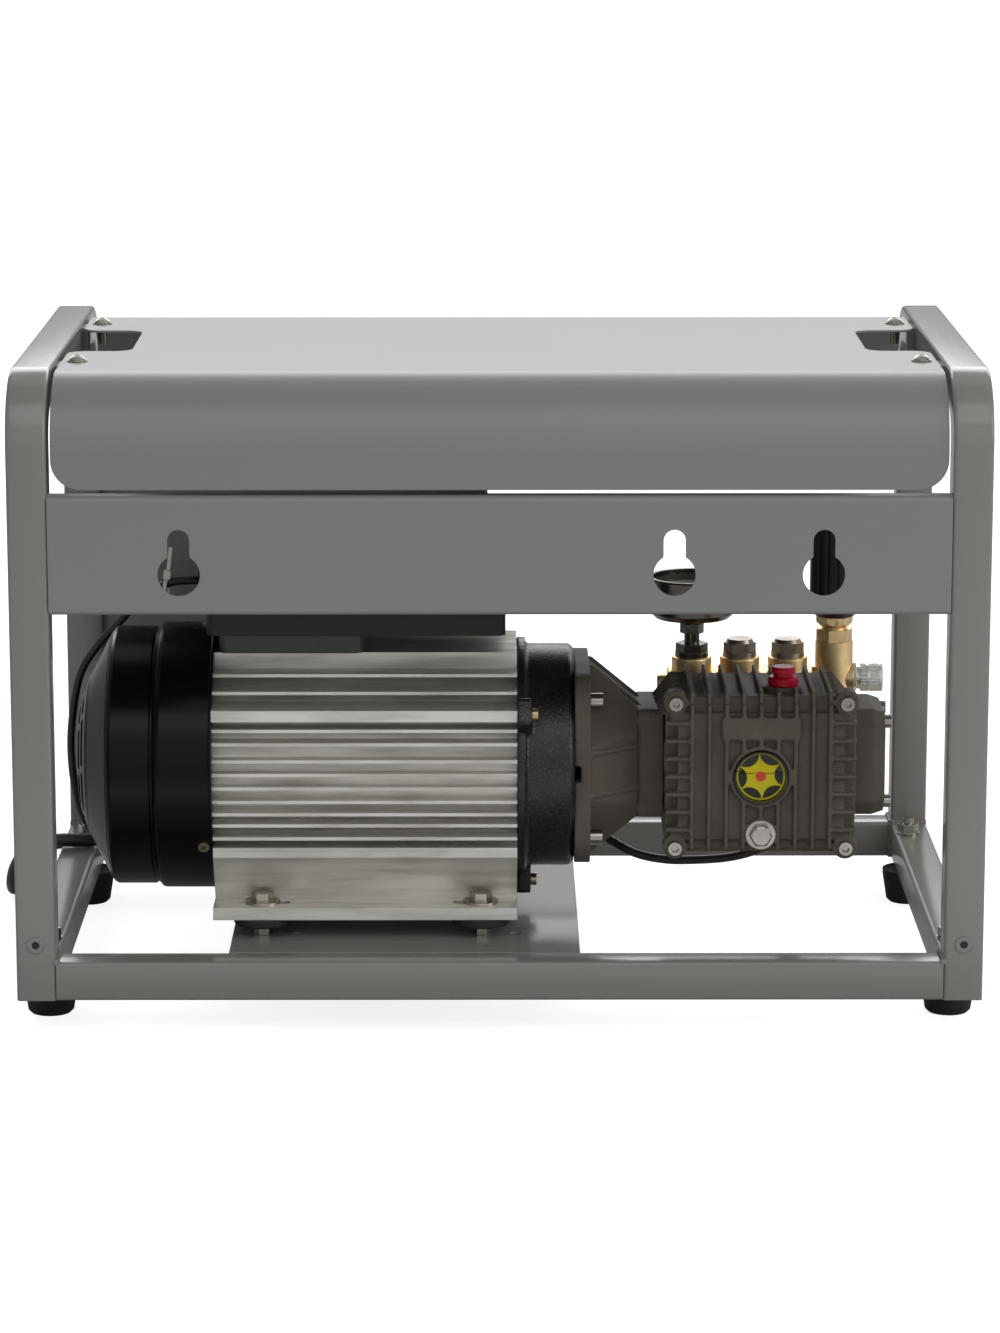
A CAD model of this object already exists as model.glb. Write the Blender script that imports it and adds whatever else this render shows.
"""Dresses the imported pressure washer: finishes, castings, leads, small parts and studio.

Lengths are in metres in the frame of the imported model: X along the motor shaft, -Y the
wall side, +Y the operator's side and Z up from the floor.
"""

from __future__ import annotations

import logging
import math
from dataclasses import dataclass, field
from enum import Enum
from typing import Sequence

import bmesh
import bpy
from mathutils import Matrix, Vector

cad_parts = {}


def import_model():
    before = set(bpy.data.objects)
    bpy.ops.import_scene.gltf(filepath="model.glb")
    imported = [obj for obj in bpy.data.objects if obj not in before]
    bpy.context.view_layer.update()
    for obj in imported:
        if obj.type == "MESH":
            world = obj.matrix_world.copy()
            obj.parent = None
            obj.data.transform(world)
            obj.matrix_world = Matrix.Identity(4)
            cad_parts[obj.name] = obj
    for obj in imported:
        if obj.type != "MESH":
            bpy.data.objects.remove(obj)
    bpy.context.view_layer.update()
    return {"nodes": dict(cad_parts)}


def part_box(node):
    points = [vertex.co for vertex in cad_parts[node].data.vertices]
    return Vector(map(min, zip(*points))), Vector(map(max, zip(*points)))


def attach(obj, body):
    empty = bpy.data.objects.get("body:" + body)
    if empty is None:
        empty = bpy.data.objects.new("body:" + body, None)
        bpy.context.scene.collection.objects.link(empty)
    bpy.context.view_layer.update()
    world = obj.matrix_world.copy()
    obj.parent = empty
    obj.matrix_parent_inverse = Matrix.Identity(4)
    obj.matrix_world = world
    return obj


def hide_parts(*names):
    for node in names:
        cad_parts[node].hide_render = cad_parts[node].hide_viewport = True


LOG = logging.getLogger("pressure_washer")
MM = 0.001
INK_THICK = 0.02 * MM

Tree = bpy.types.NodeTree
Node = bpy.types.Node
Socket = bpy.types.NodeSocket
Piece = bpy.types.Object
Pair = tuple[float, float]
Outline = list[Sequence[float]]
Part = tuple[list[Vector], list[list[int]]]


class Body(Enum):
    """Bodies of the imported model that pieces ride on."""

    ROOT = "root"
    ROCKER = "switch_rocker"


# ---- shader and mesh helpers ---------------------------------------------------
def linear(colour: str) -> tuple[float, float, float, float]:
    """Turns an sRGB hex colour into linear light.

    Args:
        colour: Six hex digits after a hash.

    Returns:
        Linear red, green and blue with full opacity.
    """
    parts = [int(colour[i : i + 2], 16) / 255 for i in (1, 3, 5)]
    light = [c / 12.92 if c <= 0.04045 else ((c + 0.055) / 1.055) ** 2.4 for c in parts]
    return (light[0], light[1], light[2], 1.0)


def add_node(tree: Tree, kind: str, inputs: dict | None = None, **settings: object) -> Node:
    """Adds one shader node with its settings, values and links.

    Args:
        tree: Node tree of the material or world.
        kind: Blender's name of the node's type.
        inputs: Socket name or number to a value, or to the output that feeds it.
        **settings: The node's own properties.

    Returns:
        The new node.
    """
    node = tree.nodes.new(kind)
    for name, value in settings.items():
        setattr(node, name, value)
    for key, value in (inputs or {}).items():
        if isinstance(value, Socket):
            tree.links.new(value, node.inputs[key])
        else:
            node.inputs[key].default_value = value
    return node


def placed(name: str, data: bpy.types.ID) -> Piece:
    """Makes an object and links it to the scene.

    Args:
        name: Its name.
        data: Its mesh, curve, light or camera.

    Returns:
        The object.
    """
    piece = bpy.data.objects.new(name, data)
    bpy.context.scene.collection.objects.link(piece)
    return piece


def skin_faces(rows: int, columns: int, wrap: bool) -> list[list[int]]:
    """Faces of a skin over rows of points, each row a closed loop.

    Args:
        rows: Number of rows.
        columns: Points in a row.
        wrap: True joins the last row to the first; False closes both ends with a face.

    Returns:
        Corner numbers of the faces.
    """
    faces = []
    for i in range(rows if wrap else rows - 1):
        a, b = i * columns, (i + 1) % rows * columns
        for k in range(columns):
            n = (k + 1) % columns
            faces.append([a + k, a + n, b + n, b + k])
    if not wrap:
        last = (rows - 1) * columns
        faces.append(list(range(columns)))
        faces.append([last + k for k in reversed(range(columns))])
    return faces


def polar(radius: float, angle: float) -> Pair:
    """Returns the place at a distance from the centre, in a direction."""
    return radius * math.cos(angle), radius * math.sin(angle)


def disc(radius: float, segments: int = 40) -> Outline:
    """Returns the outline of a round plate."""
    return [polar(radius, math.tau * k / segments) for k in range(segments)]


def bar(x0: float, y0: float, x1: float, y1: float) -> Outline:
    """Returns the outline of a square-cornered plate."""
    return [(x0, y0), (x1, y0), (x1, y1), (x0, y1)]


def lathe(profile: Outline, place: Matrix, segments: int = 48, wrap: bool = False) -> Part:
    """Gives the points and faces of a turned shape.

    Args:
        profile: Radius and height of each ring, along the outline.
        place: Carries the shape's own axis, Z, to where it stands.
        segments: Points round a ring.
        wrap: True joins the last ring to the first.

    Returns:
        Points and faces.
    """
    points = [place @ Vector((x, y, height))
              for radius, height in profile for x, y in disc(radius, segments)]
    return points, skin_faces(len(profile), segments, wrap)


def prism(outline: Outline, place: Matrix, low: float, high: float) -> Part:
    """Gives the points and faces of a straight-sided plate.

    Args:
        outline: Corners in the plate's own plane.
        place: Carries the plate's own axis, Z, to where it stands.
        low: Height of its back.
        high: Height of its face.

    Returns:
        Points and faces.
    """
    points = [place @ Vector((x, y, z)) for z in (low, high) for x, y in outline]
    return points, skin_faces(2, len(outline), wrap=False)


def joined(name: str, parts: Sequence[Part], crease: float = 32.0) -> Piece:
    """Makes one object of several parts, smooth except at creases.

    Args:
        name: Name of the piece.
        parts: Points in the frame of the model and faces of each part.
        crease: Angle in degrees above which an edge stays sharp.

    Returns:
        The object, linked to the scene.
    """
    points: list[Vector] = []
    faces: list[list[int]] = []
    for corners, skin in parts:
        faces += [[k + len(points) for k in face] for face in skin]
        points += corners
    mesh = bpy.data.meshes.new(name)
    mesh.from_pydata([tuple(p) for p in points], [], faces)
    work = bmesh.new()
    work.from_mesh(mesh)
    bmesh.ops.remove_doubles(work, verts=work.verts, dist=1e-7)
    bmesh.ops.recalc_face_normals(work, faces=work.faces)
    work.to_mesh(mesh)
    work.free()
    mesh.shade_smooth()
    mesh.set_sharp_from_angle(angle=math.radians(crease))
    return placed(name, mesh)


def numeral(text: str, size: float, place: Matrix) -> Part:
    """Gives the points and faces of a printed number, centred on its place.

    Args:
        text: The number.
        size: Height of the line.
        place: Carries the flat number to where it is printed.

    Returns:
        Points and faces.
    """
    data = bpy.data.curves.new("numeral", "FONT")
    data.body, data.size, data.extrude = text, size, INK_THICK
    data.align_x, data.align_y = "CENTER", "CENTER"
    holder = placed("numeral", data)
    state = bpy.context.evaluated_depsgraph_get()
    mesh = bpy.data.meshes.new_from_object(holder.evaluated_get(state))
    points = [place @ v.co for v in mesh.vertices]
    faces = [list(p.vertices) for p in mesh.polygons]
    bpy.data.objects.remove(holder)
    bpy.data.curves.remove(data)
    bpy.data.meshes.remove(mesh)
    return points, faces


def facing(direction: Vector, at: Vector) -> Matrix:
    """Returns the placement whose Z axis points along a direction from a point."""
    return Matrix.Translation(at) @ direction.to_track_quat("Z", "Y").to_matrix().to_4x4()


def smooth_route(route: Sequence[Vector], steps: int) -> list[Vector]:
    """Blends a route's points into a smooth curve that passes through each.

    Args:
        route: Points of the route.
        steps: Stretches between two points.

    Returns:
        Points of the curve.
    """
    curve = []
    last = len(route) - 1
    for i in range(last):
        a, b, c, d = (route[min(max(k, 0), last)] for k in (i - 1, i, i + 1, i + 2))
        for s in range(steps):
            t = s / steps
            curve.append(
                (2 * b + (c - a) * t + (2 * a - 5 * b + 4 * c - d) * t * t
                 + (3 * b - a - 3 * c + d) * t * t * t) / 2
            )
    return curve + [route[last]]


def metres(route: Sequence[Sequence[float]]) -> list[Vector]:
    """Turns points in millimetres into points in metres."""
    return [Vector(p) * MM for p in route]


# ---- finishes --------------------------------------------------------------------
@dataclass(frozen=True)
class Finish:
    """What a surface is made of and how it was made.

    Every finish has a fine grain in relief, patches of another colour that are duller or
    brighter, and edges that are rounded and, on most, worn.

    Attributes:
        name: Material name.
        colour: Its main colour, sRGB hex.
        roughness: Roughness of the surface before its patches change it.
        metallic: 1 on bare metal.
        edge: Radius that its edges are rounded to.
        gloss: Strength of a painted or moulded surface's reflection.
        worn: Colour of the patches and of worn edges.
        grain: Size of the grain.
        depth: Height of the grain.
        relief: How strongly the grain turns the light, up to 1.
        patch: Size of a patch.
        octaves: Fineness of the grain's and the patches' outlines.
        haze: Values of the noise where a patch begins and where it is full.
        cover: Largest share of the worn colour in a patch.
        rub: Share of the worn colour on edges; None where it follows the patches.
        bent: Cosine of an edge's turn where its wear begins and where it is full.
        speck: Share of the worn colour on top of each grain.
        tops: Values of the noise where a grain's top begins and where it is full.
        span: Values of the noise between which the roughness changes.
        sheen: Change of the roughness at both ends of the span.
        runs: Length along X of a drawn-out grain and patch; None where they are as long as wide.
        bright: Colour that edges are polished to, if any.
    """

    name: str
    colour: str
    roughness: float
    metallic: float = 0.0
    edge: float = 0.5 * MM
    gloss: float = 0.5
    worn: str = "#8a7f70"
    grain: float = 0.4 * MM
    depth: float = 0.01 * MM
    relief: float = 0.6
    patch: float = 12 * MM
    octaves: tuple[int, int] = (3, 4)
    haze: Pair = (0.4, 0.75)
    cover: float = 0.5
    rub: float | None = 0.0
    bent: Pair = (0.99, 0.8)
    speck: float = 0.0
    tops: Pair = (0.52, 0.68)
    span: Pair = (0.3, 0.7)
    sheen: Pair = (-0.06, 0.08)
    runs: tuple[float | None, float | None] = (None, None)
    bright: str = ""

    def build(self) -> bpy.types.Material:
        """Builds the material with its patterns.

        Returns:
            The material.
        """
        material = bpy.data.materials.new(self.name)
        material.use_nodes = True
        tree = material.node_tree
        shader = tree.nodes["Principled BSDF"]
        shader.inputs["Base Color"].default_value = linear(self.colour)
        shader.inputs["Metallic"].default_value = self.metallic
        shader.inputs["Roughness"].default_value = self.roughness
        shader.inputs["Specular IOR Level"].default_value = self.gloss
        self.dress(tree, shader, add_node(tree, "ShaderNodeTexCoord").outputs["Object"])
        return material

    def dress(self, tree: Tree, shader: Node, place: Socket) -> None:
        """Adds the grain, the patches and the edges.

        Args:
            tree: The material's node tree.
            shader: Its Principled shader.
            place: Output that gives the place on the object in metres.
        """
        rounded = add_node(
            tree, "ShaderNodeBevel", {"Radius": self.edge}, samples=4
        ).outputs["Normal"]
        waves = []
        for size, run, detail in zip((self.grain, self.patch), self.runs, self.octaves):
            drawn = add_node(tree, "ShaderNodeMapping", {
                "Vector": place, "Scale": (1 / (run or size), 1 / size, 1 / size)})
            waves.append(add_node(tree, "ShaderNodeTexNoise", {
                "Vector": drawn.outputs[0], "Scale": 1.0, "Detail": detail}).outputs[0])
        grain, cloud = waves
        bump = add_node(tree, "ShaderNodeBump", {
            "Strength": self.relief, "Distance": self.depth, "Height": grain, "Normal": rounded})
        tint = add_node(tree, "ShaderNodeMix", {
            0: self.wear(tree, rounded, grain, cloud), 6: linear(self.colour),
            7: linear(self.worn)}, data_type="RGBA")
        if self.bright:
            tint = add_node(tree, "ShaderNodeMix", {
                0: self.edge_mask(tree, rounded), 6: tint.outputs[2], 7: linear(self.bright)},
                data_type="RGBA")
        low, high = self.dullness()
        rough = add_node(tree, "ShaderNodeMapRange", {
            "Value": cloud, "From Min": self.span[0], "From Max": self.span[1],
            "To Min": low, "To Max": high})
        tree.links.new(tint.outputs[2], shader.inputs["Base Color"])
        tree.links.new(rough.outputs[0], shader.inputs["Roughness"])
        tree.links.new(bump.outputs[0], shader.inputs["Normal"])

    def dullness(self) -> Pair:
        """Returns the roughness at both ends of the span."""
        return self.roughness + self.sheen[0], self.roughness + self.sheen[1]

    def edge_mask(self, tree: Tree, rounded: Socket) -> Socket:
        """Gives 1 where an edge turns away from its faces and 0 on the faces.

        Args:
            tree: The material's node tree.
            rounded: Output that gives the normal with rounded edges.

        Returns:
            Output of the mask.
        """
        flat = add_node(tree, "ShaderNodeNewGeometry").outputs["Normal"]
        alike = add_node(tree, "ShaderNodeVectorMath", {0: rounded, 1: flat},
                         operation="DOT_PRODUCT")
        return add_node(tree, "ShaderNodeMapRange", {
            "Value": alike.outputs["Value"], "From Min": self.bent[0],
            "From Max": self.bent[1]}).outputs[0]

    def wear(self, tree: Tree, rounded: Socket, grain: Socket, cloud: Socket) -> Socket:
        """Gives the share of the worn colour.

        Args:
            tree: The material's node tree.
            rounded: Output that gives the normal with rounded edges.
            grain: Output of the grain's noise.
            cloud: Output of the patches' noise.

        Returns:
            Output of the share in the patches, on the edges and on the grain's tops.
        """
        share = add_node(tree, "ShaderNodeMapRange", {
            "Value": cloud, "From Min": self.haze[0], "From Max": self.haze[1],
            "To Max": self.cover}).outputs[0]
        if self.rub != 0:
            share = add_node(tree, "ShaderNodeMath", {
                0: self.edge_mask(tree, rounded), 1: cloud if self.rub is None else self.rub,
                2: share}, operation="MULTIPLY_ADD").outputs[0]
        if self.speck:
            tops = add_node(tree, "ShaderNodeMapRange", {
                "Value": grain, "From Min": self.tops[0], "From Max": self.tops[1],
                "To Max": self.speck})
            share = add_node(tree, "ShaderNodeMath", {0: share, 1: tops.outputs[0]}).outputs[0]
        return share


@dataclass(frozen=True)
class PowderCoat(Finish):
    """Baked polyester powder on steel: even colour, an orange peel and thinner edges."""

    worn: str = "#8b8c89"
    grain: float = 1.3 * MM
    depth: float = 0.02 * MM
    relief: float = 0.5
    patch: float = 90 * MM
    octaves: tuple[int, int] = (2, 3)
    haze: Pair = (0.3, 0.7)
    cover: float = 0.05
    rub: float = 0.5
    span: Pair = (0.0, 1.0)
    sheen: Pair = (-0.02, 0.02)


@dataclass(frozen=True)
class CastPaint(Finish):
    """Paint over sand-cast metal: the sand's grain shows through and edges wear light."""

    worn: str = "#6d675f"
    grain: float = 0.9 * MM
    depth: float = 0.12 * MM
    patch: float = 22 * MM
    octaves: tuple[int, int] = (4, 4)
    haze: Pair = (0.35, 0.75)
    cover: float = 0.3
    rub: float | None = None
    speck: float = 0.15
    span: Pair = (0.0, 1.0)
    sheen: Pair = (-0.1, 0.1)


@dataclass(frozen=True)
class ExtrudedAluminium(Finish):
    """Aluminium as it leaves the die: drag lines along X, dull stains and bright edges."""

    metallic: float = 1.0
    worn: str = "#a8a49b"
    grain: float = 0.7 * MM
    depth: float = 0.022 * MM
    relief: float = 0.3
    patch: float = 9 * MM
    haze: Pair = (0.42, 0.75)
    cover: float = 0.6
    sheen: Pair = (-0.06, 0.1)
    runs: tuple[float | None, float | None] = (160 * MM, 70 * MM)
    bright: str = "#e8e6e0"


@dataclass(frozen=True)
class BareMetal(Finish):
    """Bare, plated or blasted metal with tarnish in patches."""

    metallic: float = 1.0

    def dullness(self) -> Pair:
        """Returns the roughness at both ends of the span."""
        return self.roughness * 0.8, self.roughness * 1.3


@dataclass(frozen=True)
class Moulded(Finish):
    """Moulded plastic or rubber: the mould's fine texture, scuffs and rubbed edges."""

    worn: str = "#3a3a3a"
    grain: float = 0.5 * MM
    depth: float = 0.02 * MM
    relief: float = 0.5
    patch: float = 16 * MM
    octaves: tuple[int, int] = (2, 5)
    haze: Pair = (0.5, 0.8)
    cover: float = 0.4
    rub: float = 0.4


@dataclass(frozen=True)
class ClearGlass(Finish):
    """Clear lens: see-through, with the gloss of polished glass and wiping marks.

    Attributes:
        body: Share of the light that the lens itself stops.
        wiped: Size of a wiping mark.
    """

    body: float = 0.06
    wiped: float = 5 * MM

    def dress(self, tree: Tree, shader: Node, place: Socket) -> None:
        """Makes the shader see-through with fine wiping marks.

        Args:
            tree: The material's node tree.
            shader: Its Principled shader.
            place: Output that gives the place on the object in metres.
        """
        shader.inputs["Alpha"].default_value = self.body
        marks = add_node(tree, "ShaderNodeTexNoise", {
            "Vector": place, "Scale": 1 / self.wiped, "Detail": 3})
        rough = add_node(tree, "ShaderNodeMapRange", {
            "Value": marks.outputs[0], "To Min": self.roughness,
            "To Max": self.roughness + 0.05})
        tree.links.new(rough.outputs[0], shader.inputs["Roughness"])


class Coat(Enum):
    """Every finish on the washer."""

    # polyester powder on tube and sheet: satin grey with an orange peel
    FRAME = PowderCoat("grey_powder_coat", "#7c7c78", 0.2, edge=1.2 * MM, depth=0.006 * MM)
    PANEL = PowderCoat("satin_powder_coat", "#7c7c7a", 0.38, edge=0.8 * MM, grain=0.9 * MM,
                       depth=0.012 * MM)
    # two-part paint over sand-cast aluminium: dark bronze, grainy
    PUMP = CastPaint("bronze_cast_paint", "#57514a", 0.56, edge=0.7 * MM, gloss=0.12,
                     worn="#746d60", grain=1.1 * MM, depth=0.16 * MM)
    # black enamel on grey iron: coarse grain under gloss
    IRON = CastPaint("black_cast_enamel", "#101010", 0.3, edge=0.8 * MM, worn="#3a3836",
                     grain=1.7 * MM, depth=0.6 * MM, gloss=0.5, speck=0.6)
    # black enamel on spun sheet: smooth with soft gloss
    SPUN = PowderCoat("black_sheet_enamel", "#070707", 0.27, edge=0.8 * MM, worn="#0e0e0e",
                      grain=2.2 * MM, depth=0.012 * MM, gloss=0.17)
    # mill-finish extrusion: long drag lines
    EXTRUSION = ExtrudedAluminium("mill_aluminium", "#e2e0da", 0.58, edge=0.3 * MM)
    # blasted cast brass and turned brass
    CAST_BRASS = BareMetal("blasted_brass", "#f2d7a2", 0.42, worn="#c9ad7a",
                           grain=0.7 * MM, depth=0.08 * MM)
    TURNED_BRASS = BareMetal("turned_brass", "#dcc083", 0.27, worn="#a08757")
    CHROME = BareMetal("bright_chrome", "#fbfaf6", 0.4, worn="#e8e5de", cover=0.3,
                       depth=0.003 * MM)
    # turned and rolled stainless steel: grey faces, bright chamfers
    STAINLESS = BareMetal("stainless_steel", "#a8a49d", 0.2, worn="#8c8881")
    # nickel plate on brass: warm grey mirror gone slightly dull
    NICKEL = BareMetal("nickel_plate", "#a99f91", 0.36, worn="#857b6e",
                       depth=0.003 * MM)
    DARK_NICKEL = BareMetal("black_nickel_plate", "#6f6a63", 0.22, worn="#4a443d")
    # zinc plate with a clear, faintly yellow passivation
    ZINC = BareMetal("zinc_plate", "#aeaaa0", 0.24, worn="#8d8672", cover=0.6)
    STEEL = BareMetal("ground_steel", "#b4b4b2", 0.3, worn="#8a8884")
    BRASS_SCREW = BareMetal("passivated_screw", "#c6b894", 0.3, worn="#94825c")
    COPPER = BareMetal("varnished_copper", "#a9643c", 0.4, worn="#7a3f22")
    # moulded parts
    BOX = Moulded("black_nylon", "#1d1d1d", 0.46, edge=0.8 * MM, gloss=0.35, worn="#2e2e2e")
    KNOB = Moulded("black_knob_plastic", "#101010", 0.4, edge=0.5 * MM, gloss=0.3,
                   worn="#1f1e1d")
    RIM = Moulded("gloss_black_rim", "#070707", 0.12, edge=0.5 * MM, worn="#101010")
    GREY_BOX = Moulded("grey_terminal_plastic", "#3b3c3d", 0.52, edge=0.6 * MM, worn="#525354")
    RUBBER = Moulded("black_rubber", "#1a1a1a", 0.72, edge=0.8 * MM, worn="#34332f")
    SHEATH = Moulded("lead_sheath", "#161616", 0.38, edge=0.3 * MM, grain=0.8 * MM)
    RED = Moulded("red_breather_plastic", "#a80020", 0.34, edge=0.4 * MM, worn="#b0142c",
                 gloss=0.3)
    MARK = Moulded("red_level_mark", "#e0381e", 0.4, edge=0.1 * MM, worn="#e8604a")
    YELLOW = Moulded("yellow_star_plastic", "#e0d000", 0.5, edge=0.2 * MM, worn="#e2d810",
                     gloss=0.2)
    CERAMIC = Moulded("alumina_ceramic", "#e6e2da", 0.18, worn="#d5d0c4")
    DIAL = Moulded("white_dial_print", "#eceae3", 0.5, edge=0.2 * MM, worn="#dedbd0")
    INK = Moulded("black_dial_ink", "#161616", 0.5, edge=0.1 * MM)
    WHITE = Moulded("natural_nylon", "#e6e2d6", 0.45, edge=0.3 * MM, worn="#bfb8a6")
    OIL = Moulded("pump_oil", "#23281f", 0.3, edge=0.1 * MM, gloss=0.2, worn="#2a2f27")
    LENS = ClearGlass("clear_lens", "#0a0a0a", 0.03, gloss=1.0)


@dataclass
class Workshop:
    """What every sub-assembly needs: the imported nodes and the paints.

    Attributes:
        nodes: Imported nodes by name.
        tins: The materials that have been built, by coat.
    """

    nodes: dict[str, Piece]
    tins: dict[Coat, bpy.types.Material] = field(default_factory=dict)

    def paint(self, piece: Piece, coat: Coat) -> None:
        """Puts one coat on a whole piece.

        Args:
            piece: The piece.
            coat: Its finish, built at its first use.
        """
        if coat not in self.tins:
            self.tins[coat] = coat.value.build()
        slots = piece.data.materials
        if not slots:
            slots.append(None)
        for i in range(len(slots)):
            slots[i] = self.tins[coat]

    def fit(self, piece: Piece, coat: Coat, slot: str, body: Body = Body.ROOT,
            replaces: Sequence[str] = ()) -> Piece:
        """Paints a piece, joins it to a body and names what it stands for.

        Args:
            piece: The piece, in place.
            coat: Its finish.
            slot: The record's slot that the finish belongs to.
            body: Body it moves with.
            replaces: Nodes that it stands for.

        Returns:
            The piece.
        """
        self.paint(piece, coat)
        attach(piece, body.value)
        if replaces:
            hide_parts(*replaces)
        LOG.info("piece %s: %s on %s", piece.name, coat.name, body.value)
        return piece


# ---- sub-assemblies ----------------------------------------------------------------
@dataclass
class SubAssembly:
    """Pieces that are built and dressed together.

    Attributes:
        shop: The workshop.
    """

    shop: Workshop


@dataclass
class TubeFrame(SubAssembly):
    """Welded frame of square tube: two hoops, four bottom rails and the weld beads.

    Attributes:
        wall: Wall of the tube.
        corner: Radius of the tube's long edges.
        least: Least radius of its inner edges.
        corner_steps: Stretches in the round of an edge.
        bend: Outer radius of a hoop's bends.
        bend_steps: Stretches in a bend.
        bead: Radius of a weld bead.
        bead_sides: Points round a bead.
        ripple: Distance between two ripples of a bead.
        swell: Height of a ripple as a share of the bead's radius.
    """

    wall: float = 2.0 * MM
    corner: float = 2.6 * MM
    least: float = 0.8 * MM
    corner_steps: int = 4
    bend: float = 45.0 * MM
    bend_steps: int = 14
    bead: float = 1.9 * MM
    bead_sides: int = 10
    ripple: float = 2.6 * MM
    swell: float = 0.14

    def section(self, tube: float, inset: float) -> Outline:
        """Gives the rounded square of the tube's section.

        Args:
            tube: Side of the square tube.
            inset: Distance from its outside.

        Returns:
            The outline.
        """
        radius = max(self.corner - inset, self.least)
        reach = (tube / 2 - inset - radius) * math.sqrt(2)
        outline = []
        for quarter in range(4):
            x, y = polar(reach, math.radians(90 * quarter + 45))
            for step in range(self.corner_steps + 1):
                u, v = polar(radius, math.radians(90 * (quarter + step / self.corner_steps)))
                outline.append((x + u, y + v))
        return outline

    def tube_along(
        self, name: str, path: Sequence[tuple[Vector, Vector]], side: Vector, tube: float
    ) -> Piece:
        """Sweeps the hollow section along a path.

        Args:
            name: Name of the piece.
            path: Centre and outward normal at each station.
            side: Direction across the path, the same at each station.
            tube: Side of the square tube.

        Returns:
            The tube.
        """
        outer, inner = self.section(tube, 0.0), self.section(tube, self.wall)
        rows = [(c, n, outer) for c, n in path] + [(c, n, inner) for c, n in reversed(path)]
        points = [c + side * u + n * v for c, n, outline in rows for u, v in outline]
        return joined(name, [(points, skin_faces(len(rows), len(outer), wrap=True))])

    def hoop(self, node: str) -> Piece:
        """Builds the tube of a side hoop, up one side, over the top and down the other.

        Args:
            node: The hoop's node.

        Returns:
            The tube.
        """
        low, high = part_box(node)
        tube = high.x - low.x
        x = (low.x + high.x) / 2
        reach = high.y - tube / 2
        radius = self.bend - tube / 2
        path = [(Vector((x, -reach, low.z)), Vector((0, -1, 0)))]
        for sign, start in ((-1, 180), (1, 90)):
            centre = Vector((x, sign * (reach - radius), high.z - self.bend))
            for step in range(self.bend_steps + 1):
                angle = math.radians(start - 90 * step / self.bend_steps)
                normal = Vector((0, *polar(1, angle)))
                path.append((centre + normal * radius, normal))
        path.append((Vector((x, reach, low.z)), Vector((0, 1, 0))))
        return self.tube_along(f"{node}_tube", path, Vector((1, 0, 0)), tube)

    def rail(self, node: str) -> Piece:
        """Builds the tube of a straight bottom rail.

        Args:
            node: The rail's node.

        Returns:
            The tube.
        """
        low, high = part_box(node)
        size, up = high - low, Vector((0, 0, 1))
        run = Vector((1, 0, 0)) if size.x > size.z * 1.5 else Vector((0, 1, 0))
        path = [((low + high) / 2 + run * end * size.dot(run) / 2, up) for end in (-1, 1)]
        return self.tube_along(f"{node}_tube", path, run.cross(up), size.z)

    def beads(self) -> Piece:
        """Builds the rippled weld beads in the frame's four lower corners.

        Returns:
            All beads as one piece.
        """
        low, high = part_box("near_bottom_rail")
        side_low, side_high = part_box("left_bottom_rail")
        lines = []
        for i in (-1, 1):
            for j in (-1, 1):
                x, y = i * high.x, j * side_high.y
                corner = Vector((x, y, high.z))
                lines += [(Vector((x, -j * low.y, high.z)), corner),
                          (Vector((-i * side_low.x, y, high.z)), corner),
                          (Vector((x, y, low.z)), corner)]
        parts = []
        for start, end in lines:
            run = end - start
            count = max(int(run.length / self.ripple * 6), 6)
            profile = []
            for step in range(count + 1):
                along = run.length * step / count
                wave = math.sin(math.tau * along / self.ripple)
                profile.append((self.bead * (1 + self.swell * wave), along))
            parts.append(lathe(profile, facing(run, start), self.bead_sides))
        return joined("frame_weld_beads", parts, crease=60)

    def build(self) -> None:
        """Builds the frame's tubes and beads in place of their nodes."""
        hoops = [f"{side}_side_hoop" for side in ("left", "right")]
        rails = [f"{side}_bottom_rail" for side in ("near", "far", "left", "right")]
        for node in hoops + rails:
            piece = self.hoop(node) if node in hoops else self.rail(node)
            self.shop.fit(piece, Coat.FRAME, "frame_paint", replaces=[node])
        self.shop.fit(self.beads(), Coat.FRAME, "frame_paint")


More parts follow.
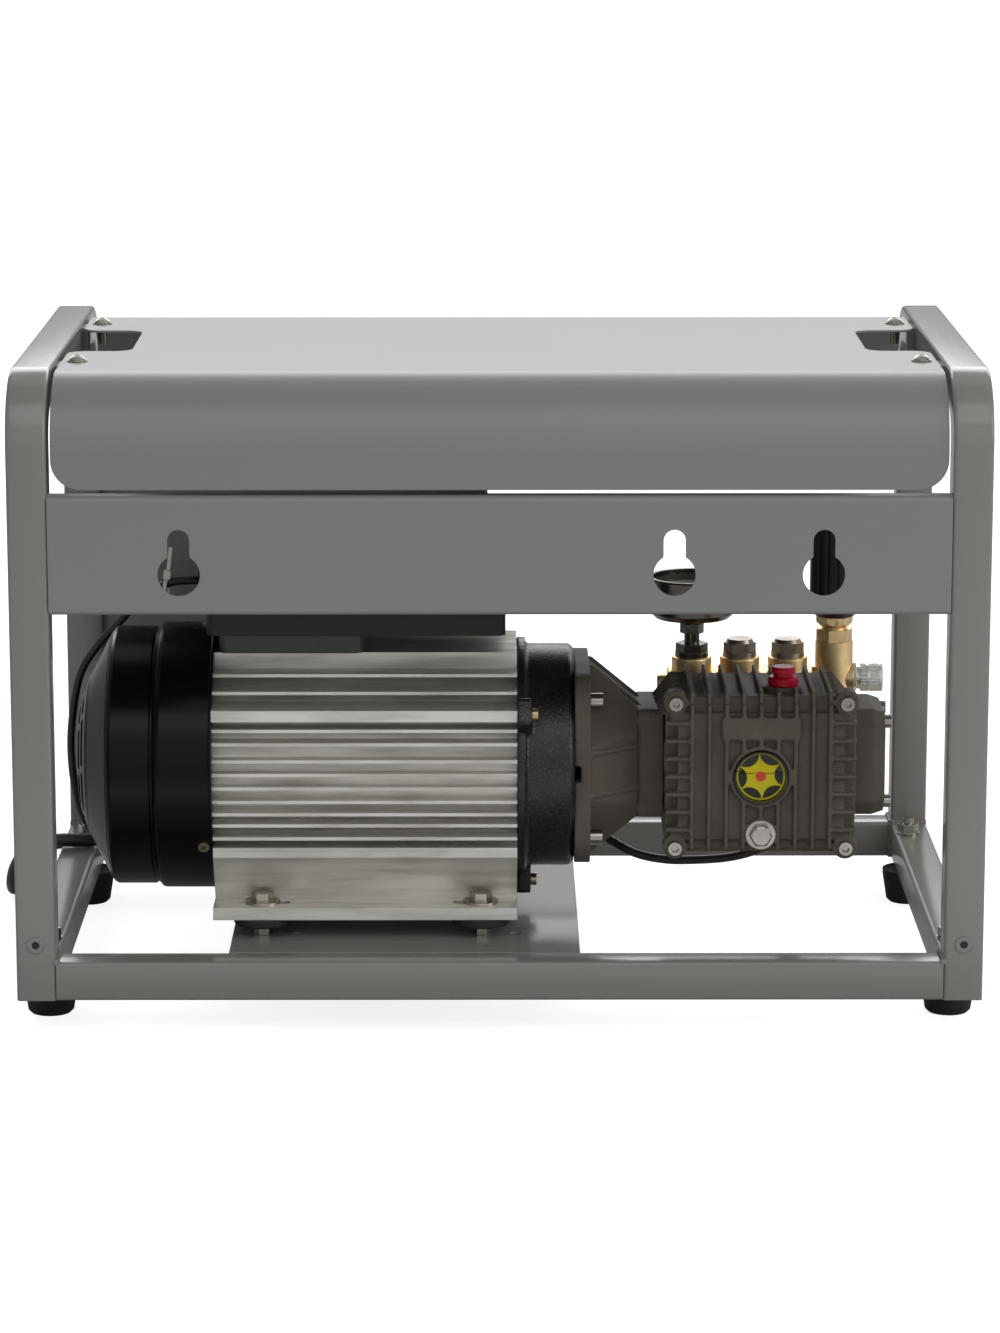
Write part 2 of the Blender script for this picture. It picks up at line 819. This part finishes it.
@dataclass
class Castings(SubAssembly):
    """Cast nodes, given the soft edges and fillets of a foundry pattern.

    Attributes:
        passes: Smoothing passes over the skin.
        pull: How far a pass moves each point towards its neighbours' middle, up to 1.
        kept: Share of the skin's faces that stay.
    """

    passes: int = 2
    pull: float = 0.5
    kept: float = 0.35

    def soften(self, node: str, grid: float) -> Piece:
        """Wraps a node's solid in an even skin and smooths its corners.

        Args:
            node: The node.
            grid: Distance between the skin's points.

        Returns:
            The softened casting.
        """
        piece = placed(f"{node}_casting", self.shop.nodes[node].data.copy())
        work = bmesh.new()
        work.from_mesh(piece.data)
        bmesh.ops.remove_doubles(work, verts=work.verts, dist=2e-6)
        work.to_mesh(piece.data)
        work.free()
        skin = piece.modifiers.new("skin", "REMESH")
        skin.mode, skin.voxel_size, skin.use_smooth_shade = "VOXEL", grid, True
        fillet = piece.modifiers.new("fillet", "SMOOTH")
        fillet.factor, fillet.iterations = self.pull, self.passes
        piece.modifiers.new("thin", "DECIMATE").ratio = self.kept
        state = bpy.context.evaluated_depsgraph_get()
        mesh = bpy.data.meshes.new_from_object(piece.evaluated_get(state))
        piece.modifiers.clear()
        piece.data = mesh
        mesh.shade_smooth()
        return piece

    def build(self) -> None:
        """Softens each visible casting."""
        castings = (
            ("crankcase_rear_cover", 0.8 * MM, Coat.PUMP, "pump_casting"),
            ("crankcase", 0.9 * MM, Coat.PUMP, "pump_casting"),
            ("bell_housing", 0.9 * MM, Coat.PUMP, "pump_casting"),
            ("bearing_cover", 0.9 * MM, Coat.PUMP, "pump_casting"),
            ("drive_end_flange", 1.2 * MM, Coat.IRON, "black_casting"),
            ("manifold", 0.9 * MM, Coat.CAST_BRASS, "cast_brass"),
        )
        for node, grid, coat, slot in castings:
            self.shop.fit(self.soften(node, grid), coat, slot, replaces=[node])


@dataclass
class Leads(SubAssembly):
    """The mains lead with its coil and plug, and the two leads inside the frame.

    Attributes:
        mains: Diameter of the mains lead.
        motor: Diameter of the motor lead.
        sensor: Diameter of the pressure switch's lead.
        gap: Gap between two turns of the coil.
        turns: Turns in a layer of the coil.
        layers: Layers of the coil.
        coil_steps: Stretches in a turn of the coil.
        coil_radius: Mean radius of the coil.
        coil_x: Middle of the coil along X.
        coil_y: Where the lead meets the coil along Y.
        band: Width of the band round the coil.
        band_thick: Its thickness.
        band_gap: Gap between the band and the turns.
        tie_x: Place along X where the nylon tie holds the motor lead.
        switch_spot: Foot of the pressure switch.
    """

    mains: float = 9.5 * MM
    motor: float = 5.5 * MM
    sensor: float = 6.0 * MM
    gap: float = 0.45 * MM
    turns: int = 3
    layers: int = 4
    coil_steps: int = 36
    coil_radius: float = 53.0 * MM
    coil_x: float = -150.0 * MM
    coil_y: float = 300.0 * MM
    band: float = 12 * MM
    band_thick: float = 0.2 * MM
    band_gap: float = 0.03 * MM
    tie_x: float = -219.7 * MM
    switch_spot: tuple[float, float, float] = (200 * MM, 9 * MM, 101.5 * MM)

    @property
    def floor(self) -> float:
        """Height of the centre of a lead that lies on the floor."""
        return self.mains / 2 + 0.25 * MM

    @property
    def pitch(self) -> float:
        """Distance between the centres of two turns."""
        return self.mains + self.gap

    @property
    def coil_out(self) -> float:
        """Radius of the coil's outermost turn."""
        return self.coil_radius + self.turns * self.pitch / 2

    @property
    def coil_top(self) -> float:
        """Height of the centre of the coil's top layer."""
        return self.floor + (self.layers - 1) * self.pitch

    def coil_point(self, wound: float) -> Vector:
        """Gives the centre of the lead at a place in the coil.

        Args:
            wound: Turns from the coil's start.

        Returns:
            The point.
        """
        layer = math.floor(wound / self.turns)
        across = wound - layer * self.turns
        if layer % 2:
            across = self.turns - across
        x, y = polar(self.coil_out - self.pitch * across, math.radians(360 * wound - 90))
        rung = math.floor(wound / self.turns + 0.5)
        past = wound - rung * self.turns
        if 1 <= rung <= self.layers - 1 and abs(past) < 0.25:
            level = rung - 0.5 + 2 * past
        else:
            level = min(max(layer, 0), self.layers - 1)
        return Vector((self.coil_x + x, self.coil_y + self.coil_out + y,
                       self.floor + self.pitch * level))

    def mains_points(self) -> list[Vector]:
        """Lays the mains lead from its gland to its plug.

        Returns:
            Points of its centreline.
        """
        floor, y = self.floor / MM, self.coil_y / MM
        top, x = self.coil_top / MM, self.coil_x / MM
        thick = self.mains / MM
        lead_in = metres([
            (-215, 178, 144.5), (-215, 178, 134.5), (-216, 174.5, 119), (-222, 163, 97),
            (-238, 143, 74), (-262, 120, 58.5), (-284, 107, 54.4), (-298, 104, 54.2),
            (-312, 104, 54.2), (-326, 105.5, 50.5), (-338, 111, 41), (-345, 120, 28),
            (-348, 134, 15), (-349, 152, 7), (-349, 172, floor), (-349, 200, floor),
            (-349, 232, floor), (-349, 262, floor), (-345, 280, floor), (-333, 294, floor),
            (-315, y, floor), (-290, y, floor), (-250, y, floor), (-210, y, floor),
            (-180, y, floor), (x - thick, y, floor),
        ])
        tail = metres([
            (x + thick, y, top), (x + 22, y, top), (x + 38, y, top - 2.4),
            (x + 56, y, 25), (x + 74, y, 20.3), (x + 84, y, 19.5), (x + 92, y, 19.5),
        ])
        count = self.layers * self.turns
        coil = [self.coil_point(min(i / self.coil_steps, count - 1e-4))
                for i in range(count * self.coil_steps + 1)]
        return smooth_route(lead_in, 5) + coil + smooth_route(tail, 5)

    def curve(self, name: str, points: Sequence[Vector], diameter: float) -> Piece:
        """Makes a round lead as one open curve.

        Args:
            name: Name of the piece.
            points: Points of its centreline.
            diameter: Its diameter.

        Returns:
            The lead.
        """
        data = bpy.data.curves.new(name, "CURVE")
        data.dimensions = "3D"
        data.bevel_depth = diameter / 2
        data.bevel_resolution = 5
        data.use_fill_caps = True
        spline = data.splines.new("POLY")
        spline.points.add(len(points) - 1)
        for spot, point in zip(spline.points, points):
            spot.co = (*point, 1)
        spline.use_smooth = True
        return placed(name, data)

    def coil_band(self) -> Piece:
        """Builds the thin band that holds the coil's turns together.

        Returns:
            The band.
        """
        radius = self.mains / 2
        outer = self.coil_out - 0.5 * self.pitch + self.band_gap
        inner = self.coil_out - (self.turns - 0.5) * self.pitch - self.band_gap
        low, high = self.floor - self.band_gap, self.coil_top + self.band_gap
        outline = []
        for i, corner in enumerate(((outer, high), (inner, high), (inner, low), (outer, low))):
            for step in range(7):
                out = Vector(polar(1, math.radians(90 * i + 15 * step)))
                outline.append((Vector(corner), out))
        rows = []
        for side, thick in ((-1, 0), (-1, self.band_thick), (1, self.band_thick), (1, 0)):
            for centre, out in outline:
                spot = centre + out * (radius + thick)
                rows.append(Vector((self.coil_x + side * self.band / 2,
                                    self.coil_y + self.coil_out + spot.x, spot.y)))
        return joined("coil_tie", [(rows, skin_faces(4, len(outline), wrap=True))])

    def lead_tie(self, at: Vector, along: Vector) -> Piece:
        """Builds the loose nylon tie that hangs on the motor lead.

        Args:
            at: Middle of the lead inside the tie.
            along: Direction of the lead there.

        Returns:
            Loop, head and standing tail as one piece.
        """
        half, thick, inner, drop = 1.35 * MM, 1.1 * MM, self.motor / 2 + 0.15 * MM, 8.5 * MM
        head_x, head_y, head_high, tail_y, tail_top = (v * MM for v in (2.6, 2.0, 5.8, 0.5, 25))
        lean = Matrix.Rotation(math.radians(7), 4, "Y")
        yaw = Matrix.Rotation(math.atan2(along.y, along.x), 4, "Z")
        place = Matrix.Translation(at) @ yaw @ lean
        steps = 36
        rows = []
        for side, radius in ((-1, inner), (-1, inner + thick), (1, inner + thick), (1, inner)):
            for k in range(steps):
                angle = math.tau * (k + 0.5) / steps
                up = math.sin(angle)
                rows.append(place @ Vector((
                    side * half, radius * math.cos(angle), radius * up - (drop if up < 0 else 0),
                )))
        top = inner + 0.4 * thick
        return joined("lead_tie", [
            (rows, skin_faces(4, steps, wrap=True)),
            prism(bar(-head_x, -head_y, head_x, head_y), place, top, top + head_high),
            prism(bar(-half, -tail_y, half, tail_y), place, top, tail_top),
        ])

    def plug(self) -> list[Piece]:
        """Builds the plug.

        Returns:
            The moulded body with its grooves, and the two pins.
        """
        low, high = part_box("mains_plug")
        middle = (low + high) / 2
        place = facing(Vector((1, 0, 0)), Vector((low.x, middle.y, middle.z)))
        neck, full = self.mains / MM / 2 + 1.2, (high.y - low.y) / MM / 2
        profile = [(neck - 1, 0)]
        for k in range(5):
            start, radius = 4.4 * k, neck + 0.62 * k
            profile += [(radius, start), (radius, start + 2.6), (radius - 0.9, start + 3.1),
                        (radius - 0.9, start + 4.0)]
        profile += [(9, 22), (full - 2, 30.5), (full, 34)]
        for start in (37, 41, 45):
            profile += [(full, start), (full - 0.8, start + 0.8), (full - 0.8, start + 1.8),
                        (full, start + 2.6)]
        profile += [(full, 50.8), (full - 1, 51.8), (2, 51.8)]
        pin = metres([(2.4, 51.7), (2.4, 68.0), (2.1, 69.6), (1.4, 70.6), (0.2, 70.6)])
        pins = [lathe(pin, place @ Matrix.Translation((0, side * 9.5 * MM, 0)), 24)
                for side in (-1, 1)]
        return [joined("mains_plug_body", [lathe(metres(profile), place)]),
                joined("mains_plug_pins", pins)]

    def pressure_switch(self) -> list[Piece]:
        """Builds the pressure switch at the end of its lead, under the manifold.

        Returns:
            The moulded body and the hexagon that screws it into the manifold.
        """
        foot = Matrix.Translation(self.switch_spot)
        flats = 17
        corner = flats / math.sqrt(3)
        body = [(3.4, 0), (6.2, 0), (7.4, 1.2), (8, 3), (8, 11.2), (7.4, 12), (5.6, 12)]
        nut = [(corner - 1.2, 12), (corner, 13), (corner, 21), (corner - 1.2, 22)]
        return [joined("pressure_switch", [lathe(metres(body), foot)]),
                joined("pressure_switch_nut", [lathe(metres(nut), foot, 6)])]

    def mains_cord(self) -> None:
        """Fits the mains lead with its band and its plug."""
        shop, points = self.shop, self.mains_points()
        lead = self.curve("mains_lead_flex", points, self.mains)
        shop.fit(lead, Coat.SHEATH, "lead_sheath",
                 replaces=["mains_lead", "mains_lead_coil", "mains_lead_tail"])
        body, pins = self.plug()
        shop.fit(body, Coat.SHEATH, "lead_sheath", replaces=["mains_plug"])
        shop.fit(pins, Coat.NICKEL, "lead_sheath", replaces=["mains_plug"])
        tie = shop.fit(self.coil_band(), Coat.BOX, "lead_sheath")

    def motor_cord(self) -> None:
        """Fits the motor lead, from the capacitor box to the switch housing, with its tie."""
        motor = smooth_route(metres([
            (-199, -35, 267), (-201, -35, 267), (-206, -35, 267), (-222, -30, 264),
            (-240, -20, 252), (-256, -10, 234), (-272, -4, 216), (-284, 0, 196),
            (-290, 3, 168), (-292, 6, 142), (-290, 10, 114), (-284, 16, 90), (-270, 32, 72),
            (-250, 56, 66), (-232, 84, 72), (-218, 112, 96), (-208, 138, 132),
            (-203, 158, 166), (-203, 172.5, 197.5), (-203, 177.5, 206.5),
            (-203, 177.5, 211.5), (-203, 177.5, 213.5),
        ]), 6)
        piece = self.shop.fit(self.curve("motor_lead_flex", motor, self.motor), Coat.SHEATH,
                              "lead_sheath", replaces=["motor_lead"])
        spot = next(k for k, p in enumerate(motor) if p.x < self.tie_x)
        tie = self.shop.fit(self.lead_tie(motor[spot], motor[spot - 1] - motor[spot]),
                            Coat.WHITE, "lead_sheath")

    def sensor_cord(self) -> None:
        """Fits the lead that hangs under the pump, with the pressure switch at its end."""
        sensor = smooth_route(metres([
            (-60, 178, 154.5), (-60, 178, 151.5), (-60, 178, 145.5), (-54, 166, 132),
            (-30, 130, 108), (10, 80, 98), (48, 40, 88), (76, 22, 75), (94, 16, 66.5),
            (114, 14, 62.6), (134, 14, 62.2), (158, 14, 64), (178, 13.5, 69.5),
            (192, 12, 78), (198.5, 10, 87.5), (200, 9, 96.5), (200, 9, 101.5),
        ]), 6)
        switch, nut = self.pressure_switch()
        self.shop.fit(switch, Coat.BOX, "lead_sheath", replaces=["sensor_lead"])
        self.shop.fit(nut, Coat.TURNED_BRASS, "cast_brass")
        piece = self.shop.fit(self.curve("sensor_lead_flex", sensor, self.sensor), Coat.SHEATH,
                              "lead_sheath", replaces=["sensor_lead"])

    def build(self) -> None:
        """Builds the three leads with what hangs on them."""
        self.mains_cord()
        self.motor_cord()
        self.sensor_cord()


@dataclass
class SightGlass(SubAssembly):
    """Oil sight glass in the pump's rear cover: star, oil, level line, red mark and dome.

    Attributes:
        arms: Arms of the star.
        turn: Turn of the star in degrees.
        tip: Radius of the arms' ends, as a share of the star's ring.
        hollow: Radius of the hollows between the arms, as such a share.
        reach: Distance from the centre to the middle of a hollow, as such a share.
        ring: Width of the star's ring.
        play: Gap between the oil's edge and the ring's outside.
        level: Height of the oil above the glass's centre.
        creep: Rise of the oil where it wets the ring.
        sunk: How far the oil lies behind the star's face.
        line: Width of the level line.
        mark: Radius of the red mark in the middle of the star.
        rise: Rise of the lens's dome.
        sides: Points round the glass.
    """

    arms: int = 6
    turn: float = 4.0
    tip: float = 0.95
    hollow: float = 0.5
    reach: float = 1.06
    ring: float = 1.2 * MM
    play: float = 0.4 * MM
    level: float = 1.9 * MM
    creep: float = 1.2 * MM
    sunk: float = 0.7 * MM
    line: float = 0.45 * MM
    mark: float = 3.4 * MM
    rise: float = 1.0 * MM
    sides: int = 56

    def surface(self, radius: float, width: float = 0.0) -> Outline:
        """Draws the oil's upper line, creeping up at the glass.

        Args:
            radius: Radius of the oil's edge.
            width: Height above the line.

        Returns:
            The line's points from left to right.
        """
        reach = math.sqrt(radius**2 - (self.level + self.creep) ** 2)
        return [(reach * share, self.level + width + self.creep * share**6)
                for share in (step / 10 for step in range(-10, 11))]

    def star(self, radius: float) -> Outline:
        """Draws the star inside its ring.

        Args:
            radius: Radius of the ring.

        Returns:
            The star's outline.
        """
        spread = math.acos((self.reach**2 + self.hollow**2 - self.tip**2)
                           / (2 * self.reach * self.hollow))
        outline = []
        for arm in range(self.arms):
            middle = math.radians(self.turn) + math.tau * arm / self.arms
            x, y = polar(radius * self.reach, middle)
            for step in range(13):
                u, v = polar(radius * self.hollow, middle + math.pi + spread * (1 - step / 6))
                outline.append((x + u, y + v))
        return outline

    def dome(self, x: float, z: float) -> Piece:
        """Turns the domed lens.

        Args:
            x: Middle of the glass along X.
            z: Its height.

        Returns:
            The lens.
        """
        low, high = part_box("sight_glass_lens")
        glass = (high.x - low.x) / 2
        flat = self.rise - (high.y - low.y)
        profile = [(glass * 0.02, flat), (glass, flat), (glass, 0.0)]
        for k in range(1, 9):
            angle = math.radians(90 * k / 8.2)
            profile.append((glass * math.cos(angle), self.rise * math.sin(angle)))
        place = facing(Vector((0, -1, 0)), Vector((x, low.y + self.rise, z)))
        return joined("sight_glass_dome", [lathe(profile, place, self.sides)])

    def build(self) -> None:
        """Builds the star, what is behind it and what is in front."""
        low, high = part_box("sight_glass_star")
        x, z = (low.x + high.x) / 2, (low.z + high.z) / 2
        place = facing(Vector((0, -1, 0)), Vector((x, low.y, z)))
        radius, back = (high.x - low.x) / 2, low.y - high.y
        edge = radius - self.play
        surface = self.surface(edge)
        start = math.atan2(surface[-1][1], surface[-1][0])
        stop = math.atan2(surface[0][1], surface[0][0]) - math.tau
        oil = surface + [polar(edge, start + (stop - start) * k / 40) for k in range(1, 40)]
        line = surface + list(reversed(self.surface(edge, self.line)))
        inner = radius - self.ring
        ring = [(radius, back), (radius, 0.0), (inner, 0.0), (inner, back)]
        star = joined("sight_glass_yellow_star", [
            prism(self.star(radius), place, back, 0.0),
            lathe(ring, place, self.sides, wrap=True)])
        fit = self.shop.fit
        fit(star, Coat.YELLOW, "yellow_plastic", replaces=["sight_glass_star"])
        for name, outline, foot, face, coat, slot in (
            ("pump_oil", oil, back, -self.sunk, Coat.OIL, "box_plastic"),
            ("oil_level_line", line, back, 0.12 * MM, Coat.OIL, "box_plastic"),
            ("oil_level_mark", disc(self.mark), -0.5 * MM, 0.3 * MM, Coat.MARK,
             "yellow_plastic"),
        ):
            fit(joined(name, [prism(outline, place, foot, face)]), coat, slot)
        fit(self.dome(x, z), Coat.LENS, "clear_lens", replaces=["sight_glass_lens"])


@dataclass
class GaugeFace(SubAssembly):
    """Printed scale of the pressure gauge, in bar.

    Attributes:
        zero: Direction of no pressure, in degrees from the X axis.
        sweep: Turn from no pressure to full scale, clockwise.
        full: Pressure at full scale.
        step: Pressure between two numbers.
        ticks: Divisions between two numbers.
        ring: Radius of the ticks' outer ends.
        lengths: Lengths of the ticks at numbers, halfway and elsewhere.
        widths: Half the widths of the ticks at numbers and elsewhere.
        inward: Distance of the numbers from the ring.
        size: Size of the numbers.
        print: Thickness of the print.
    """

    zero: float = 45.0
    sweep: float = 270.0
    full: int = 250
    step: int = 50
    ticks: int = 10
    ring: float = 25.6 * MM
    lengths: tuple[float, float, float] = (4.2 * MM, 3.0 * MM, 1.8 * MM)
    widths: Pair = (0.45 * MM, 0.22 * MM)
    inward: float = 8 * MM
    size: float = 4.4 * MM
    print: float = 0.05 * MM

    def build(self) -> None:
        """Builds the ticks and the numbers on the dial."""
        low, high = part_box("gauge_dial")
        middle = Matrix.Translation(((low.x + high.x) / 2, (low.y + high.y) / 2, high.z))
        count = self.full // self.step * self.ticks
        parts = []
        for k in range(count + 1):
            angle = math.radians(self.zero - self.sweep * k / count)
            place = middle @ Matrix.Rotation(angle, 4, "Z")
            main, half = k % self.ticks == 0, k % (self.ticks // 2) == 0
            inner = self.ring - self.lengths[0 if main else 1 if half else 2]
            width = self.widths[0 if main else 1]
            parts.append(prism(bar(inner, -width, self.ring, width), place,
                               -0.01 * MM, self.print))
        upright = Matrix.Rotation(math.pi, 4, "Z")
        for value in range(0, self.full + 1, self.step):
            angle = math.radians(self.zero - self.sweep * value / self.full)
            spot = (*polar(self.ring - self.inward, angle), INK_THICK)
            place = middle @ Matrix.Translation(spot) @ upright
            parts.append(numeral(str(value), self.size, place))
        self.shop.fit(joined("gauge_scale", parts), Coat.INK, "needle_black")


@dataclass
class SmallParts(SubAssembly):
    """Recesses in screw heads, marks on the rocker and the dark of the rivet nuts' bores.

    Attributes:
        head: Radius of a fan cover screw's head.
        arm: Half the length of its cross recess.
        slot: Half the width of the recess.
        mark: Size of the rocker's marks.
        bore: Radius of a rivet nut's bore.
        sunk: How far the dark of a bore lies behind the nut's face.
        rim: Radius of a rivet nut's rim.
    """

    head: float = 3.7 * MM
    arm: float = 2.3 * MM
    slot: float = 0.42 * MM
    mark: float = 6 * MM
    bore: float = 2.5 * MM
    sunk: float = 0.55 * MM
    rim: float = 5.5 * MM

    def recesses(self) -> None:
        """Lays the dark cross of a driver's recess into the fan cover's screws."""
        low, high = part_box("motor_screws")
        cover_low, cover_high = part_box("fan_cover")
        shaft = (cover_low + cover_high) / 2
        a, s = self.arm, self.slot
        cross = [(a, -s), (a, s), (s, s), (s, a), (-s, a), (-s, s), (-a, s), (-a, -s),
                 (-s, -s), (-s, -a), (s, -a), (s, -s)]
        parts = []
        for angle in (0, 120, 240):
            place = (Matrix.Translation((low.x + self.head, shaft.y, shaft.z))
                     @ Matrix.Rotation(math.radians(angle), 4, "X")
                     @ Matrix.Translation((0, 0, high.z - shaft.z))
                     @ Matrix.Rotation(math.radians(35), 4, "Z"))
            parts.append(prism(cross, place, -0.3 * MM, 0.04 * MM))
        self.shop.fit(joined("screw_recesses", parts), Coat.INK, "brass_screws")

    def rocker_marks(self) -> None:
        """Prints the marks for on and off on the two halves of the rocker."""
        rocker = self.shop.nodes["switch_rocker"]
        low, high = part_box("switch_rocker")
        middle = (low + high) / 2
        state = bpy.context.evaluated_depsgraph_get()
        reach = 0.35 * (high.z - low.z)
        parts = []
        for text, side in (("I", 1), ("O", -1)):
            start = Vector((middle.x, high.y + 10 * MM, middle.z + side * reach))
            _, spot, normal, _ = rocker.ray_cast(start, Vector((0, -1, 0)), depsgraph=state)
            parts.append(numeral(text, self.mark, facing(normal, spot + normal * INK_THICK)))
        self.shop.fit(joined("rocker_marks", parts), Coat.DIAL, "dial_white", Body.ROCKER)

    def rivet_bores(self) -> None:
        """Lays the dark of the thread into the rivet nuts' bores, in front of the tube."""
        low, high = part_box("rivet_nuts")
        parts = []
        for x in (low.x + self.rim, high.x - self.rim):
            place = facing(Vector((0, -1, 0)), Vector((x, low.y + self.sunk,
                                                       (low.z + high.z) / 2)))
            parts.append(prism(disc(self.bore), place, -0.15 * MM, 0.0))
        self.shop.fit(joined("rivet_bores", parts), Coat.INK, "zinc_steel")

    def build(self) -> None:
        """Builds the small parts."""
        self.recesses()
        self.rivet_bores()
        self.rocker_marks()


@dataclass
class NodeCoats(SubAssembly):
    """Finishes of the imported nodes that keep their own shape."""

    def build(self) -> None:
        """Puts each node's coat on it."""
        coats = {
            Coat.PANEL: ("wall_mount_panel", "control_panel", "top_cover"),
            Coat.FRAME: ("cover_brackets", "base_plate", "rivet_nuts"),
            Coat.RUBBER: ("rubber_feet", "anti_vibration_mounts"),
            Coat.ZINC: ("cover_screws", "foot_studs", "motor_foot_bolts"),
            Coat.CHROME: ("coupler_body", "coupler_sleeve"),
            Coat.STAINLESS: ("pump_screws", "oil_drain_plug"),
            Coat.EXTRUSION: ("motor_housing",),
            Coat.STEEL: ("stator_core", "bearings", "rotor", "crankshaft"),
            Coat.COPPER: ("windings",),
            Coat.IRON: ("rear_end_shield",),
            Coat.SPUN: ("fan_cover",),
            Coat.BOX: ("cooling_fan", "capacitor_box", "switch_housing", "cable_glands"),
            Coat.KNOB: ("unloader_knob",),
            Coat.RIM: ("sight_glass_bezel",),
            Coat.GREY_BOX: ("terminal_base",),
            Coat.BRASS_SCREW: ("motor_screws",),
            Coat.CERAMIC: ("plungers",),
            Coat.LENS: ("gauge_lens",),
            Coat.RED: ("breather_cap", "switch_rocker"),
            Coat.CAST_BRASS: ("unloader_body",),
            Coat.NICKEL: ("valve_caps",),
            Coat.DARK_NICKEL: ("gauge_case",),
            Coat.DIAL: ("gauge_dial",),
            Coat.INK: ("gauge_needle",),
        }
        for coat, names in coats.items():
            for name in names:
                self.shop.paint(self.shop.nodes[name], coat)
        LOG.info("coats on %d nodes", sum(len(names) for names in coats.values()))


@dataclass
class Studio:
    """Pale floor, soft lights and the camera.

    Attributes:
        floor_half: Half the side of the floor.
        focal_px: Focal length in pixels of the frame.
        frame_px: Height of the frame in pixels.
        sensor: Size of the camera's sensor in millimetres.
        eye: Where the camera stands.
        tilt: How far it looks down, in degrees.
        turn: How far it looks to the right, in degrees.
    """

    floor_half: float = 30.0
    focal_px: float = 4431.44
    frame_px: int = 1333
    sensor: float = 36.0
    eye: tuple[float, float, float] = (-0.00803, -2.94646, 0.80794)
    tilt: float = 11.64
    turn: float = 0.17

    def glow(self, tree: Tree, seen: float, unseen: float) -> Socket:
        """Gives a strength that depends on who looks at the surface.

        Args:
            tree: Node tree of the material or world.
            seen: Strength for the lens.
            unseen: Strength for light on its way to something else.

        Returns:
            Output of the strength.
        """
        ray = add_node(tree, "ShaderNodeLightPath").outputs["Is Camera Ray"]
        return add_node(
            tree, "ShaderNodeMapRange", {"Value": ray, "To Min": unseen, "To Max": seen}
        ).outputs[0]

    def floor(self) -> None:
        """Lays the pale floor."""
        reach = self.floor_half
        corners = [Vector((x, y, 0)) for x, y in bar(-reach, -reach, reach, reach)]
        floor = joined("studio_floor", [(corners, [[0, 1, 2, 3]])])
        material = bpy.data.materials.new("white_floor_paint")
        material.use_nodes = True
        tree = material.node_tree
        shader = tree.nodes["Principled BSDF"]
        shader.inputs["Base Color"].default_value = linear("#c6c6c6")
        shader.inputs["Roughness"].default_value = 0.9
        shader.inputs["Specular IOR Level"].default_value = 0.0
        shader.inputs["Emission Color"].default_value = linear("#ffffff")
        tree.links.new(self.glow(tree, 0.84, 0.0), shader.inputs["Emission Strength"])
        floor.data.materials.append(material)

    def surround(self) -> None:
        """Sets the even surround."""
        world = bpy.data.worlds.new("studio_surround")
        bpy.context.scene.world = world
        world.use_nodes = True
        tree = world.node_tree
        sky = tree.nodes["Background"]
        sky.inputs["Color"].default_value = linear("#ffffff")
        tree.links.new(self.glow(tree, 1.0, 0.34), sky.inputs["Strength"])
        bpy.context.scene.view_settings.view_transform = "Standard"

    def lights(self) -> None:
        """Hangs the soft lights: name, place, target, width and height, watts."""
        for name, at, target, size, watts in (
            ("overhead_box", (0, 1.0, 2.3), (0, 0, 0.35), (2.6, 1.6), 6),
            ("backdrop_box", (0, 4.2, 2.45), (0, 0, 0.4), (6.0, 2.2), 126),
            ("high_front_box", (0.3, -2.6, 2.9), (0, -0.1, 0.25), (3.4, 2.2), 31),
            ("low_front_box", (0.3, -4.2, 1.15), (0, -0.1, 0.2), (4.4, 1.8), 10.5),
            ("left_box", (-3.0, -1.4, 1.4), (0, -0.1, 0.2), (1.6, 1.8), 2),
            ("right_box", (3.0, -1.4, 1.4), (0, -0.1, 0.2), (1.6, 1.8), 34),
            ("floor_card", (0, -0.5, 0.006), (0, -0.45, 1), (1.8, 0.56), 1.8),
        ):
            data = bpy.data.lights.new(name, "AREA")
            data.shape = "RECTANGLE"
            data.size, data.size_y = size
            data.energy = watts
            lamp = placed(name, data)
            lamp.location = at
            aim = Vector(target) - Vector(at)
            lamp.rotation_euler = aim.to_track_quat("-Z", "Y").to_euler()

    def camera(self) -> None:
        """Sets up the camera at the height of a standing person's chest."""
        data = bpy.data.cameras.new("camera")
        data.sensor_width = self.sensor
        data.lens = self.focal_px / self.frame_px * self.sensor
        data.clip_end = 100
        camera = placed("camera", data)
        camera.location = self.eye
        camera.rotation_euler = (math.radians(90 - self.tilt), 0, math.radians(-self.turn))
        bpy.context.scene.camera = camera

    def build(self) -> None:
        """Builds the studio."""
        self.camera()
        self.floor()
        self.surround()
        self.lights()


def main() -> None:
    """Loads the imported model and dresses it."""
    logging.basicConfig(level=logging.INFO, format="%(name)s %(message)s")
    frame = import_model()
    Studio().build()
    shop = Workshop(frame["nodes"])
    Leads(shop).build()
    NodeCoats(shop).build()
    SightGlass(shop).build()
    GaugeFace(shop).build()
    SmallParts(shop).build()
    TubeFrame(shop).build()
    Castings(shop).build()
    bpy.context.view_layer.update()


if __name__ == "__main__":
    main()
